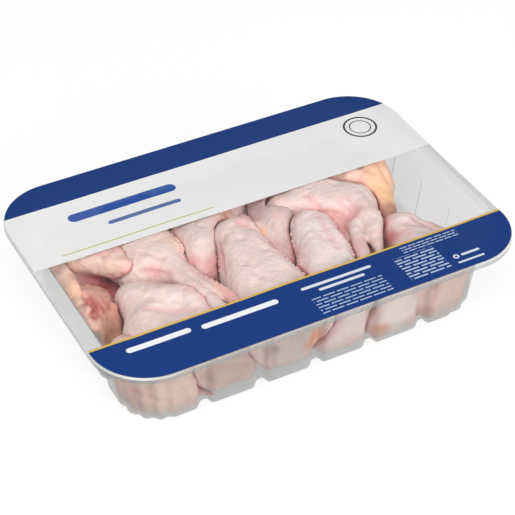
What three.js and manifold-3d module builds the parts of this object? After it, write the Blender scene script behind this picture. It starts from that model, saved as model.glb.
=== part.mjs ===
// A sealed tray pack of raw chicken wings: a clear ribbed tray, a printed top film
// and the folded wings inside it. Millimetres, +Z up. The origin is on the table, under the
// middle of the tray, and X runs along the tray.
import * as THREE from "three";
import { mergeVertices } from "three/addons/utils/BufferGeometryUtils.js";
import Module from "manifold-3d";

const wasm = await Module();
wasm.setup();

// Driving dimensions of the tray
const TRAY_LENGTH = 270; // over the flange
const TRAY_WIDTH = 190;
const TRAY_HEIGHT = 56;
const FLANGE_CORNER = 35; // radius of the flange's corners
const END_REACH = 10.5; // from the wall to the flange's outer edge, at the two ends
const SIDE_REACH = 14; // and along the two long sides
const WALL = 0.9; // thickness of the plastic
const LIP_DROP = 4; // the flange's edge is turned down by this much
const EDGE_ROUND = 0.9; // bevel of the flange's upper edge
const BODY_CORNER = 30; // radius of the body's corners just under the flange
const BODY_CORNER_BASE = 26;
const END_TAPER = 8; // each end comes in by this much from flange to base
const SIDE_TAPER = 4.5; // and each long side by this much

// Shoulder, ribs, flutes and feet, as depths below the flange and as reliefs in the wall
const SHOULDER_DEPTH = 11; // the ribs start here
const SHOULDER_STEP = 1;
const RIB_FULL = 14; // the rib has its full relief from here down
const RIB_RELIEF = 4;
const RIB_FLAT = 1.6; // half width of the rib's crest
const LONG_RIB = { count: 5, pitch: 36.4, half: 6.5 };
const END_RIB = { count: 3, pitch: 31.5, half: 6 };
const FLUTES = 4; // small flutes in each corner
const FLUTE_RELIEF = 1.6;
const FOOT_HEIGHT = 5; // the base edge is chamfered over this height
const FOOT_INSET = 3.4;
const CHANNEL_RISE = 3.5; // each rib runs under the base as a channel of this height
const CHANNEL_RUN = 24; // and dies out over this distance

// Driving dimensions of the film and of the space kept round the wings
const FILM_THICKNESS = 0.4;
const FILM_MARGIN = 0.6; // the film stops this far inside the flange's edge
const SEAL_GAP = 0.05;
const GAP = 0.4; // between a wing and what it touches

const radians = THREE.MathUtils.degToRad;

// One place round the tray's outline: on a straight side at a fixed distance along it, or
// in a corner at a fixed angle. relief is 1 on a rib's or flute's crest and 0 elsewhere.
function sideStations(rib, side) {
  const stations = [];
  for (let i = 0; i < rib.count; i++) {
    const middle = (i - (rib.count - 1) / 2) * rib.pitch;
    for (const [offset, relief] of [
      [-rib.half, 0],
      [-RIB_FLAT, 1],
      [RIB_FLAT, 1],
      [rib.half, 0],
    ])
      stations.push({ side, along: middle + offset, relief, depth: RIB_RELIEF, channel: relief });
  }
  return stations;
}

function cornerStations(quarter) {
  const steps = 2 * FLUTES;
  return Array.from({ length: steps + 1 }, (_, i) => {
    return { quarter, angle: (90 * i) / steps, relief: i % 2, depth: FLUTE_RELIEF, channel: 0 };
  });
}

// All stations in order, anticlockwise from the front of the right-hand end.
const STATIONS = [0, 1, 2, 3].flatMap((quarter) => [
  ...sideStations(quarter % 2 ? LONG_RIB : END_RIB, quarter),
  ...cornerStations(quarter),
]);

// The outward direction and the corner of the rounded rectangle for each side and quarter:
// 0 right end, 1 back, 2 left end, 3 front.
function stationPoint(station, halfX, halfY, corner, relief) {
  const inner = new THREE.Vector2(halfX - corner, halfY - corner);
  if (station.side !== undefined) {
    const turn = station.side * 90;
    const half = station.side % 2 ? halfY : halfX;
    const point = new THREE.Vector2(half - relief, station.along);
    return point.rotateAround(new THREE.Vector2(), radians(turn));
  }
  const signs = [
    [1, 1],
    [-1, 1],
    [-1, -1],
    [1, -1],
  ][station.quarter];
  const angle = radians(station.quarter * 90 + station.angle);
  return new THREE.Vector2(
    signs[0] * inner.x + (corner - relief) * Math.cos(angle),
    signs[1] * inner.y + (corner - relief) * Math.sin(angle),
  );
}

// Half sizes and corner radius of the body's outer face at a depth below the flange.
function bodySection(depth) {
  const share = depth / TRAY_HEIGHT;
  const step = depth > SHOULDER_DEPTH ? SHOULDER_STEP : 0;
  return {
    halfX: TRAY_LENGTH / 2 - END_REACH - END_TAPER * share - step,
    halfY: TRAY_WIDTH / 2 - SIDE_REACH - SIDE_TAPER * share - step,
    corner: THREE.MathUtils.lerp(BODY_CORNER, BODY_CORNER_BASE, share) - step,
  };
}

// A ring of points: a section of the body, inset further, with its ribs at a share of
// their relief, and with the channels under the base lifted by another share.
function ring(section, z, { inset = 0, ribs = 0, channels = 0 } = {}) {
  const corner = Math.max(section.corner - inset, 1);
  return STATIONS.map((s) => {
    const relief = s.relief * s.depth * ribs;
    const p = stationPoint(s, section.halfX - inset, section.halfY - inset, corner, relief);
    return new THREE.Vector3(p.x, p.y, z + s.channel * channels * CHANNEL_RISE);
  });
}

// The body's rings from just under the flange down to the middle of the base. skin is how far
// the face lies inside the tray's outer face.
function bodyRings(skin) {
  const level = (depth) => TRAY_HEIGHT - depth;
  const base = bodySection(TRAY_HEIGHT - FOOT_HEIGHT);
  return [
    ring(bodySection(SHOULDER_DEPTH), level(SHOULDER_DEPTH), { inset: skin }),
    ring(bodySection(SHOULDER_DEPTH + 0.01), level(SHOULDER_DEPTH + SHOULDER_STEP), { inset: skin }),
    ring(bodySection(RIB_FULL), level(RIB_FULL), { inset: skin, ribs: 1 }),
    ring(base, FOOT_HEIGHT, { inset: skin, ribs: 1 }),
    ring(base, skin, { inset: skin + FOOT_INSET, ribs: 1, channels: 1 }),
    ring(base, skin, { inset: skin + CHANNEL_RUN }),
  ];
}

// Joins two stacks of rings to one solid: the outer one runs up and the inner one runs down,
// and their faces are split along the same diagonals, so that the wall between them stays even.
// The first and the last ring are closed by fans to their middles. With no outer rings, the
// solid is the plug that fills the inner ones.
function solidOfRings(outer, inner) {
  const rings = [...outer, ...inner];
  const n = rings[0].length;
  const points = rings.flat();
  const triangles = [];
  for (let k = 0; k + 1 < rings.length; k++)
    for (let i = 0; i < n; i++) {
      const a = k * n + i;
      const b = k * n + ((i + 1) % n);
      if (k < outer.length) triangles.push(a, b, a + n, b, b + n, a + n);
      else triangles.push(a, b, b + n, a, b + n, a + n);
    }
  const fan = (start, up) => {
    const middle = new THREE.Vector3(0, 0, points[start].z);
    const hub = points.push(middle) - 1;
    for (let i = 0; i < n; i++) {
      const a = start + i;
      const b = start + ((i + 1) % n);
      triangles.push(...(up ? [a, b, hub] : [b, a, hub]));
    }
  };
  fan(0, false);
  fan((rings.length - 1) * n, true);
  return solidOf(points, outer.length ? triangles : triangles.reverse());
}

function solidOf(points, triangles) {
  return new wasm.Manifold(
    new wasm.Mesh({
      numProp: 3,
      vertProperties: new Float32Array(points.flatMap((p) => p.toArray())),
      triVerts: new Uint32Array(triangles),
    }),
  );
}

function solidOfGeometry(geometry) {
  geometry.deleteAttribute("normal");
  geometry.deleteAttribute("uv");
  const merged = mergeVertices(geometry, 1e-3);
  return new wasm.Manifold(
    new wasm.Mesh({
      numProp: 3,
      vertProperties: merged.attributes.position.array,
      triVerts: new Uint32Array(merged.index.array),
    }),
  );
}

// The tray: the outer face from the base's middle out to the lip, then the inner face back.
function tray() {
  const flange = { halfX: TRAY_LENGTH / 2, halfY: TRAY_WIDTH / 2, corner: FLANGE_CORNER };
  const neck = bodySection(0);
  const top = TRAY_HEIGHT;
  const outer = [
    ...bodyRings(0).reverse(),
    ring(neck, top - WALL),
    ring(flange, top - WALL, { inset: WALL }),
    ring(flange, top - LIP_DROP, { inset: WALL }),
    ring(flange, top - LIP_DROP),
    ring(flange, top - EDGE_ROUND),
    ring(flange, top, { inset: EDGE_ROUND }),
  ];
  const inner = [
    ring(neck, top),
    ring(neck, top - EDGE_ROUND, { inset: WALL }),
    ...bodyRings(WALL),
  ];
  return solidOfRings(outer, inner);
}

// The film: one flat sheet sealed on the flange.
function film() {
  const halfX = TRAY_LENGTH / 2 - FILM_MARGIN;
  const halfY = TRAY_WIDTH / 2 - FILM_MARGIN;
  const r = FLANGE_CORNER - FILM_MARGIN;
  const outline = new THREE.Shape();
  outline.absarc(halfX - r, halfY - r, r, 0, Math.PI / 2);
  outline.absarc(-halfX + r, halfY - r, r, Math.PI / 2, Math.PI);
  outline.absarc(-halfX + r, -halfY + r, r, Math.PI, 1.5 * Math.PI);
  outline.absarc(halfX - r, -halfY + r, r, 1.5 * Math.PI, 2 * Math.PI);
  const sheet = { depth: FILM_THICKNESS, bevelEnabled: false, curveSegments: 8 };
  const geometry = new THREE.ExtrudeGeometry(outline, sheet);
  return solidOfGeometry(geometry.translate(0, 0, TRAY_HEIGHT + SEAL_GAP));
}

// The space inside the tray, under the film. The wings are cut to it, so that they lie
// against the walls and ribs with the gap.
function cavity() {
  const skin = WALL + GAP;
  const mouth = ring(bodySection(0), TRAY_HEIGHT - GAP, { inset: skin });
  return solidOfRings([], [mouth, ...bodyRings(skin)]);
}

// Distance to a limb: a cone from a to b with rounded ends of radius ra and rb.
function limbDistance(p, { a, b, ra, rb }) {
  const axis = b.clone().sub(a);
  const along = THREE.MathUtils.clamp(p.clone().sub(a).dot(axis) / axis.lengthSq(), 0, 1);
  const nearest = a.clone().addScaledVector(axis, along);
  return p.distanceTo(nearest) - THREE.MathUtils.lerp(ra, rb, along);
}

function padDistance(p, { middle, half, round }) {
  const out = p.clone().sub(middle);
  const beyond = new THREE.Vector3(Math.abs(out.x), Math.abs(out.y), Math.abs(out.z)).sub(half);
  return beyond.max(new THREE.Vector3()).length() - round;
}

function smoothMin(d1, d2, blend) {
  const h = Math.max(blend - Math.abs(d1 - d2), 0) / blend;
  return Math.min(d1, d2) - (h * h * blend) / 4;
}

// A slow unevenness of the flesh, within about 1 mm.
function unevenness(p) {
  const wave = (q, length) => Math.sin((2 * Math.PI * q) / length);
  return 0.5 * wave(p.x + 0.4 * p.y, 31) + 0.4 * wave(p.y - 0.3 * p.z, 37) + 0.3 * wave(p.z + 0.5 * p.x, 23);
}

const LIMB_BLEND = 9;

function fleshDistance(p, parts) {
  const d = parts.map((part) => (part.half ? padDistance(p, part) : limbDistance(p, part)));
  return d.reduce((all, one) => smoothMin(all, one, LIMB_BLEND)) + unevenness(p);
}

// The skin over some limbs, found along rays from their middle. The rays are those of a
// sphere stretched to the limbs' own reach, so that the faces come out of even size.
function fleshSolid(parts, grow, detail) {
  const box = new THREE.Box3();
  for (const { a, b, ra, rb, middle, half, round } of parts) {
    if (half) {
      const reach = half.clone().addScalar(round);
      box.union(new THREE.Box3(middle.clone().sub(reach), middle.clone().add(reach)));
    } else {
      box.union(new THREE.Box3(a.clone().subScalar(ra), a.clone().addScalar(ra)));
      box.union(new THREE.Box3(b.clone().subScalar(rb), b.clone().addScalar(rb)));
    }
  }
  const middle = box.getCenter(new THREE.Vector3());
  const reach = box.getSize(new THREE.Vector3()).multiplyScalar(0.5);
  const inside = (p) => fleshDistance(p, parts) < grow;
  const geometry = new THREE.IcosahedronGeometry(1, detail);
  const position = geometry.getAttribute("position");
  for (let i = 0; i < position.count; i++) {
    const ray = new THREE.Vector3().fromBufferAttribute(position, i).multiply(reach);
    const at = (t) => middle.clone().addScaledVector(ray, t);
    let outer = 1.8;
    while (outer > 0.05 && !inside(at(outer))) outer -= 0.05;
    let low = outer;
    let high = outer + 0.05;
    for (let k = 0; k < 10; k++) {
      const mid = (low + high) / 2;
      if (inside(at(mid))) low = mid;
      else high = mid;
    }
    position.setXYZ(i, ...at(low).toArray());
  }
  return solidOfGeometry(geometry);
}

const vector = (p) => new THREE.Vector3(...p);
const limb = (from, to, ra, rb) => ({ a: vector(from), b: vector(to), ra, rb });

// A lump of flesh that fills a place between two ribs: a rounded box.
const pad = (middle, half, round) => ({ middle: vector(middle), half: vector(half), round });

// The limbs of a folded wing. From the elbow, the upper arm and the forearm run side by side
// to the far end, where their middles are spread apart, with the skin stretched between them.
function foldedWing(elbow, far, spread, knuckle, girth) {
  const way = vector(far).sub(vector(elbow)).normalize();
  const across = new THREE.Vector3(0, 0, 1).cross(way).multiplyScalar(spread / 2);
  const upper = vector(far).add(across).toArray();
  const lower = vector(far).sub(across).toArray();
  return [
    limb(elbow, upper, knuckle, girth),
    limb(elbow, lower, knuckle, girth * FOREARM_SHARE),
    limb(elbow, far, knuckle, girth * WEB_SHARE),
  ];
}

const FOREARM_SHARE = 0.92;
const WEB_SHARE = 0.85;

// The wings, the ones on top first: each is cut back by those before it. Tips are limbs that
// stand out of a wing and are joined on as they are.
const WINGS = [
  {
    name: "wing_middle",
    arms: [...foldedWing([-12, 3, 43], [-19, -64, 36], 28, 12, 19), pad([-18, -63, 28], [9, 5, 11], 9)],
  },
  {
    name: "wing_right",
    arms: [...foldedWing([33, -11, 44], [20, -62, 36], 14, 11, 16), pad([18, -63, 25], [9, 5, 12], 9)],
  },
  {
    name: "wing_elbow",
    arms: [
      limb([26, 18, 45], [54, 12, 39], 10, 17),
      limb([54, 12, 39], [68, 4, 37], 17, 15),
      limb([68, 4, 37], [66, -18, 43], 14, 11),
      limb([54, 0, 38], [53, -16, 35], 12, 8),
    ],
    tips: [limb([56, -18, 46], [44, -54, 48], 5, 4.2), limb([67, -20, 46], [54, -54, 48], 6.5, 4.2)],
  },
  {
    name: "wing_crossed",
    arms: [
      limb([-59, 44, 38], [-61, 14, 40], 20, 17.5),
      limb([-80, 34, 39], [-75, 8, 40], 14, 12),
      limb([-62, 14, 39], [-60, -6, 43], 14, 9),
    ],
    tips: [limb([-55, -2, 46], [-40, -52, 49], 6, 4.6), limb([-60, -4, 47], [-51, -54, 48.5], 6, 4.8)],
  },
  {
    name: "wing_front_left",
    arms: [
      limb([-86, -13, 40], [-61, -40, 43], 11, 12.5),
      limb([-87, -16, 40], [-89, -42, 35], 9, 15),
      limb([-89, -42, 35], [-64, -62, 34], 15, 18),
      limb([-62, -38, 38], [-64, -62, 34], 14, 18),
      pad([-55, -63, 28], [9, 5, 11], 9),
    ],
  },
  {
    name: "wing_front_right",
    arms: [
      limb([85, -29, 37], [84, -57, 31], 13, 20),
      limb([97, -44, 38], [99, -54, 30], 7, 13),
      pad([88, -58, 22], [8, 6, 13], 12),
    ],
  },
  {
    name: "wing_back_middle",
    arms: [
      limb([0, 44, 38], [-28, 14, 38], 17, 15),
      limb([-28, 14, 38], [-37, -3, 37], 15, 11),
      limb([-12, 54, 30], [-28, 14, 30], 17, 16),
      limb([-38, 34, 38], [-34, 8, 38], 15, 13),
      pad([-18, 64, 22], [9, 5, 12], 9),
    ],
  },
  {
    name: "wing_behind",
    under: true,
    arms: [limb([24, 34, 39], [18, 8, 39], 15.5, 13), limb([18, 8, 37], [8, -20, 33], 13, 9)],
  },
  {
    name: "wing_fat",
    arms: [
      limb([74, 40, 41], [92, 26, 40], 13, 14),
      limb([92, 26, 40], [88, -2, 36], 14, 8),
      limb([72, 46, 24], [92, 24, 24], 18, 17),
      limb([72, 32, 39], [90, 22, 39], 14, 13),
      pad([80, 60, 20], [10, 6, 10], 12),
    ],
  },
  {
    name: "wing_left",
    arms: [
      limb([-98, 42, 42], [-84, 16, 46], 13, 9),
      limb([-102, 30, 47], [-82, 7, 49.5], 8, 6),
      limb([-102, 46, 20], [-94, 18, 17], 17, 14),
      pad([-92, 58, 20], [10, 6, 10], 13),
    ],
  },
  {
    name: "wing_far_left",
    arms: [
      limb([-117, 30, 40], [-119, -24, 39], 8, 8),
      limb([-105, 5, 34], [-106, -18, 36], 8, 9),
      limb([-108, -24, 28], [-101, -34, 24], 10, 11),
      limb([-98, 0, 22], [-97, -22, 22], 9, 9),
    ],
  },
  {
    name: "wing_corner",
    arms: [limb([-107, -52, 31], [-78, -62, 20], 15, 18), pad([-92, -58, 22], [10, 6, 12], 13)],
  },
  {
    name: "wing_back",
    under: true,
    arms: [...foldedWing([6, 60, 22], [44, 60, 22], 16, 14, 17), pad([26, 64, 22], [16, 5, 12], 9)],
  },
  {
    name: "wing_back_left",
    under: true,
    arms: [...foldedWing([-40, 60, 22], [-68, 60, 22], 16, 15, 17), pad([-54, 64, 22], [9, 5, 12], 9)],
  },
  { name: "wing_low_left", under: true, arms: foldedWing([-24, -40, 20], [-52, -50, 20], 16, 14, 15) },
  {
    name: "wing_low_right",
    under: true,
    arms: [
      limb([56, -56, 26], [34, -44, 18], 17, 14),
      limb([58, -50, 24], [69, -30, 24], 14, 13),
      pad([54, -62, 24], [9, 6, 15], 9),
    ],
  },
  { name: "wing_low_middle", under: true, arms: foldedWing([-44, 2, 15], [0, 2, 15], 18, 12, 14) },
];

const WING_DETAIL = 3; // subdivisions of a wing's own mesh
const LOW_DETAIL = 2; // of a tip, and of a wing that lies under others

function wingSolid(wing, grow) {
  const body = fleshSolid(wing.arms, grow, wing.under ? LOW_DETAIL : WING_DETAIL);
  return (wing.tips ?? []).reduce(
    (whole, tip) => whole.add(fleshSolid([tip], grow, LOW_DETAIL)),
    body,
  );
}

const largest = (solid) =>
  solid.decompose().reduce((best, one) => (one.volume() > best.volume() ? one : best));

// The wings as they lie: inside the cavity, and pressed flat against those on top of them.
function packedWings() {
  const room = cavity();
  const taken = [];
  return WINGS.map((wing) => {
    const free = taken.reduce((left, other) => left.subtract(other), wingSolid(wing, 0).intersect(room));
    taken.push(wingSolid(wing, GAP));
    return { name: wing.name, solid: largest(free) };
  });
}

function geometryOf(solid) {
  const mesh = solid.getMesh();
  const geometry = new THREE.BufferGeometry();
  geometry.setAttribute("position", new THREE.BufferAttribute(mesh.vertProperties, 3));
  geometry.setIndex(new THREE.BufferAttribute(mesh.triVerts, 1));
  geometry.computeVertexNormals();
  return geometry;
}

const CLEAR_PLASTIC = new THREE.MeshStandardMaterial({
  color: 0xdfe2e1,
  roughness: 0.15,
  metalness: 0,
  transparent: true,
  opacity: 0.35,
});
const PRINTED_FILM = new THREE.MeshStandardMaterial({
  color: 0xe9eaec,
  roughness: 0.2,
  metalness: 0,
});
const PALE_SKIN = new THREE.MeshStandardMaterial({ color: 0xe3cfc4, roughness: 0.45, metalness: 0 });
const FATTY_SKIN = new THREE.MeshStandardMaterial({ color: 0xe8bf9c, roughness: 0.45, metalness: 0 });
const FATTY_WINGS = ["wing_left", "wing_far_left", "wing_fat", "wing_corner"];

function mesh(name, solid, material) {
  const made = new THREE.Mesh(geometryOf(solid), material);
  made.name = name;
  return made;
}

const pack = new THREE.Group();
pack.add(mesh("tray", tray(), CLEAR_PLASTIC));
pack.add(mesh("film", film(), PRINTED_FILM));
for (const { name, solid } of packedWings())
  pack.add(mesh(name, solid, FATTY_WINGS.includes(name) ? FATTY_SKIN : PALE_SKIN));

export default pack;
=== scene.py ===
# A sealed tray pack of raw chicken wings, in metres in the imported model's frame. Shapes are
# worked out in millimetres, from the same named sizes as the solids, and scaled at the end.
import math

import bpy
import numpy as np
from mathutils import Matrix, Vector


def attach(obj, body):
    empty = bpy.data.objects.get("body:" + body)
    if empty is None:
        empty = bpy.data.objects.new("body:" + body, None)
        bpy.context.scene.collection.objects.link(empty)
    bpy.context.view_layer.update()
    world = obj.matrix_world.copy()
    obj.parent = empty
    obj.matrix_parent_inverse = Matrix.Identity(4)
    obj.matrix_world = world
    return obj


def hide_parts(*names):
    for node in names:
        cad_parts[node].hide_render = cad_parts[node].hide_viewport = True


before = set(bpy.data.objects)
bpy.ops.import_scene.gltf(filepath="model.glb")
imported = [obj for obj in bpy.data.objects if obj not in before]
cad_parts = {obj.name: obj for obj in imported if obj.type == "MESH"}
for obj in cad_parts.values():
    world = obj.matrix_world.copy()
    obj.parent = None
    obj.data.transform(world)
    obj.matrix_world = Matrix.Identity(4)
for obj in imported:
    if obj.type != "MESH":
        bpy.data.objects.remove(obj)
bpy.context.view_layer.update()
MM = 0.001

# Sizes of the tray, as in the solids
LENGTH, WIDTH, HEIGHT = 270.0, 190.0, 56.0
FLANGE_CORNER = 35.0
FLANGE_REACH = (10.5, 14.0)  # at the ends and along the sides
WALL = 0.9
LIP_DROP = 4.0
BODY_CORNER, BODY_CORNER_BASE = 30.0, 26.0
BODY_TAPER = (8.0, 4.5)
SHOULDER_DEPTH, SHOULDER_STEP = 11.0, 1.0
SHOULDER_TOP = SHOULDER_DEPTH - 0.6  # the step in is made between these depths
RIB_START = SHOULDER_DEPTH + 1.0
RIB_FULL = 14.0
RIB_RELIEF, RIB_FLAT = 4.0, 1.6
LONG_RIBS = [36.4 * (i - 2) for i in range(5)]
END_RIBS = [31.5 * (i - 1) for i in range(3)]
LONG_HALF, END_HALF = 6.5, 6.0
FLUTES, FLUTE_RELIEF = 4, 1.6
FOOT_HEIGHT, FOOT_INSET = 5.0, 3.4
FOOT_COSINE = 0.827  # of the foot's slope
BODY_DEPTH = HEIGHT - FOOT_HEIGHT
CHANNEL_RISE, CHANNEL_RUN = 3.5, 24.0
EDGE_ROUND, NECK_ROUND = 1.1, 1.6  # at the flange's outer edge and where the body leaves it
GAP = 0.4  # between wings, and from them to the tray and the film

# Sizes of the film
FILM_MARGIN = 0.6  # from the flange's edge
FILM_SEAL, FILM_THICK = 0.05, 0.4
FILM_Z = HEIGHT + FILM_SEAL + FILM_THICK
FILM_SAG, FILM_WAVE = 0.25, 0.35

# Places of the print on the film, across it from front to back
WINDOW_FRONT, WINDOW_BACK = -57.0, 19.0
GOLD_WIDTH = 1.5
BACK_BAND = 72.06

# The grid that the wings are worked out on
STEP = 1.1
GRID_MARGIN = 4
GRID_LOW, GRID_HIGH = [-125, -85, -2], [125, 85, 60]


# Numbers and noise


def smoothstep(a, b, x):
    t = np.clip((x - a) / (b - a), 0.0, 1.0)
    return t * t * (3 - 2 * t)


CELLS = 32
LATTICE = np.random.RandomState(7).uniform(-1, 1, (CELLS, CELLS, CELLS)).astype(np.float32)
CORNERS = [np.array([k & 1, k >> 1 & 1, k >> 2 & 1]) for k in range(8)]


def blend(table, base, t):
    """Blends a table's values at the eight corners of each point's cell. The table repeats."""
    total = 0.0
    for corner in CORNERS:
        share = np.prod(np.where(corner, t, 1 - t), axis=-1)
        i = (base + corner) % table.shape
        total = total + share * table[i[..., 0], i[..., 1], i[..., 2]]
    return total


def noise(p, size, shift=0.0):
    """Smooth noise within -1 and 1 at the points p, with features of that size."""
    q = p / size + shift
    base = np.floor(q).astype(int)
    t = q - base
    return blend(LATTICE, base, t * t * (3 - 2 * t))


def smin(a, b, k):
    h = np.maximum(k - np.abs(a - b), 0.0) / k
    return np.minimum(a, b) - h * h * k / 4


def smax(a, b, k):
    return -smin(-a, -b, k)


# The tray's walls


def rib_profile(along, middles, half):
    """1 on a rib's crest, 0 away from it, with soft shoulders."""
    d = np.min([np.abs(along - m) for m in middles], axis=0)
    return smoothstep(half, RIB_FLAT * 0.6, d)


def flute_profile(angle):
    return 0.5 - 0.5 * np.cos(angle * 4 * FLUTES)


def section(depth):
    """Half sizes and corner radius of the body's outer face at a depth below the flange."""
    share = depth / HEIGHT
    step = SHOULDER_STEP * smoothstep(SHOULDER_TOP, RIB_START, depth)
    corner = BODY_CORNER + (BODY_CORNER_BASE - BODY_CORNER) * share - step
    half_x, half_y = (
        half - reach - taper * share - step
        for half, reach, taper in zip((LENGTH / 2, WIDTH / 2), FLANGE_REACH, BODY_TAPER)
    )
    return half_x, half_y, corner


CAVITY_ROUND, FILM_ROUND = 3.0, 2.0  # how softly the wings bend at the cavity's corners


def inside_tray(p):
    """Distance to the tray's inner faces and the film, less than 0 inside."""
    x, y, z = np.abs(p[..., 0]), np.abs(p[..., 1]), p[..., 2]
    depth = np.clip(HEIGHT - z, 0, HEIGHT)
    half_x, half_y, corner = section(depth)
    share = smoothstep(RIB_START, RIB_FULL, depth)
    long_rib = rib_profile(p[..., 0], LONG_RIBS, LONG_HALF)
    end_rib = rib_profile(p[..., 1], END_RIBS, END_HALF)
    qx = x - (half_x - corner - RIB_RELIEF * share * end_rib)
    qy = y - (half_y - corner - RIB_RELIEF * share * long_rib)
    side = np.hypot(np.maximum(qx, 0), np.maximum(qy, 0)) + np.minimum(np.maximum(qx, qy), 0)
    side = side - corner
    turning = (qx > 0) & (qy > 0)
    flute = flute_profile(np.arctan2(np.maximum(qy, 1e-6), np.maximum(qx, 1e-6)))
    side = side + np.where(turning, FLUTE_RELIEF * share * flute, 0)
    foot = (side + FOOT_INSET * (1 - z / FOOT_HEIGHT)) * FOOT_COSINE
    near_long = smoothstep(-CHANNEL_RUN, -FOOT_INSET, qy - corner)
    near_end = smoothstep(-CHANNEL_RUN, -FOOT_INSET, qx - corner)
    channel = CHANNEL_RISE * np.maximum(long_rib * near_long, end_rib * near_end)
    walls = smax(smax(side, foot, CAVITY_ROUND), channel - z, CAVITY_ROUND) + WALL + GAP
    return smax(walls, z - (HEIGHT - GAP), FILM_ROUND)


# The wings


def limb(a, b, ra, rb):
    return np.array(a, float), np.array(b, float), ra, rb


def pad(middle, half, round_off):
    """A lump of flesh that fills a place between two ribs: a rounded box."""
    return np.array(middle, float), np.array(half, float), round_off


def folded_wing(elbow, far, spread, knuckle, girth):
    """Upper arm and forearm side by side from the elbow, with the skin between them."""
    e, f = np.array(elbow, float), np.array(far, float)
    way = (f - e) / np.linalg.norm(f - e)
    across = np.cross([0, 0, 1], way) * spread / 2
    return [
        limb(e, f + across, knuckle, girth),
        limb(e, f - across, knuckle, girth * 0.92),
        limb(e, f, knuckle, girth * 0.85),
    ]


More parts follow.
